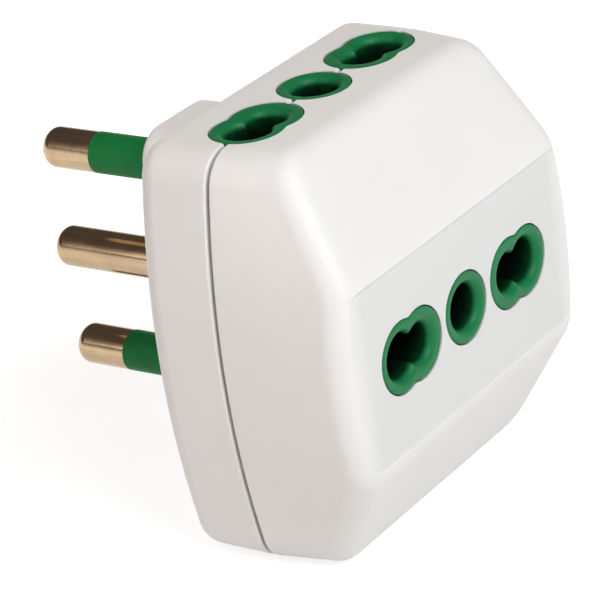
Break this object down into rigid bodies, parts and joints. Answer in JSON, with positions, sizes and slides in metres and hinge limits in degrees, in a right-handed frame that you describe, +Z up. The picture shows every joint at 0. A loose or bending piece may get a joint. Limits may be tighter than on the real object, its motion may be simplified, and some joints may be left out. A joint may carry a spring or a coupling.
{
  "type": "multi socket adapter",
  "caption": "White plug-in mains adapter with round pins on a rear nose and green dual-pitch outlets on its front, top and bottom.",
  "frame": {"origin": "on the earth pin's axis, where it leaves the plug face", "axes": "+Y along the pins into the wall, +Z up, the front outlet faces -Y"},
  "size_m": [0.048, 0.0576, 0.0496],
  "materials": {
    "housing": "satin white",
    "insert": "satin green",
    "sleeve": "matt green",
    "pin": "bright turned",
    "contact": "bright rolled",
    "strip": "bright rolled",
    "screw": "zinc plated"
  },
  "bodies": {
    "root": {"front_shell": "housing", "rear_shell": "housing", "front_carrier": "insert", "top_carrier": "insert", "bottom_carrier": "insert", "live_sleeve": "sleeve", "neutral_sleeve": "sleeve", "live_pin": "pin", "neutral_pin": "pin", "earth_pin": "pin", "housing_screws": "screw", "front_live_contact": "contact", "front_earth_contact": "contact", "front_neutral_contact": "contact", "top_live_contact": "contact", "top_earth_contact": "contact", "top_neutral_contact": "contact", "bottom_live_contact": "contact", "bottom_earth_contact": "contact", "bottom_neutral_contact": "contact", "live_strip": "strip", "neutral_strip": "strip", "earth_strip": "strip"}
  },
  "joints": []
}
